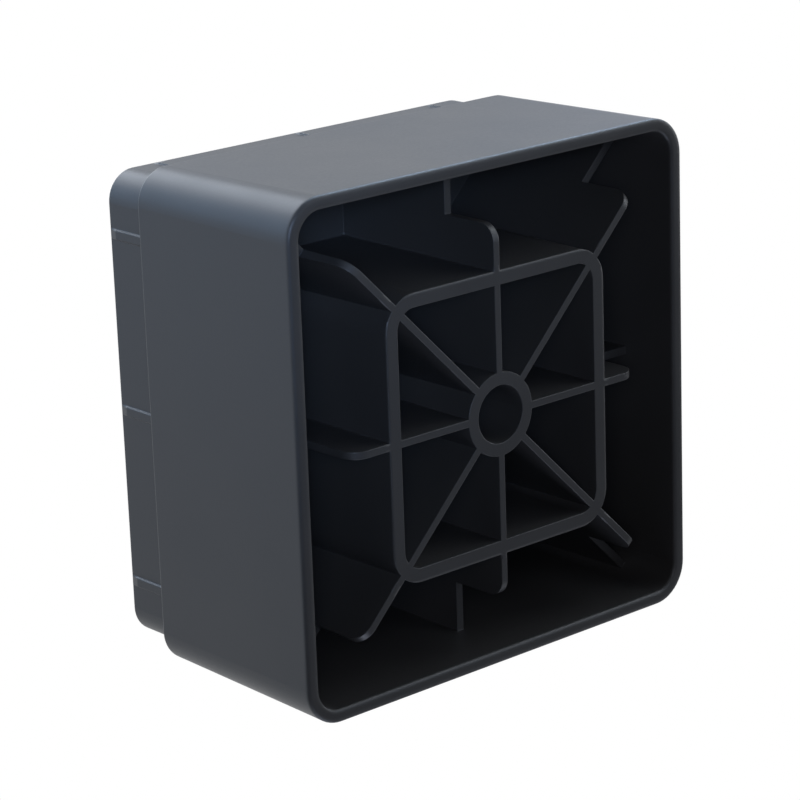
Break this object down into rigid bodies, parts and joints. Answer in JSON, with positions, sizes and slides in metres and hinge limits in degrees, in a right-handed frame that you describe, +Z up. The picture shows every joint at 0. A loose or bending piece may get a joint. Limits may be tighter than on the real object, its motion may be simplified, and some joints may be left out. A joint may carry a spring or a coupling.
{
  "type": "bed riser",
  "caption": "Square stackable bed riser: an open-bottomed moulded block with a ribbed deck, topped by a stacking spigot round a shallow tray for a furniture leg.",
  "frame": {"origin": "centre of the rim, at the floor", "axes": "+Z up from the floor through the tray, +X and +Y square to the sides"},
  "size_m": [0.16, 0.16, 0.0915],
  "materials": {
    "moulded_plastic": "satin"
  },
  "bodies": {
    "root": {"riser_body": "moulded_plastic"}
  },
  "joints": []
}
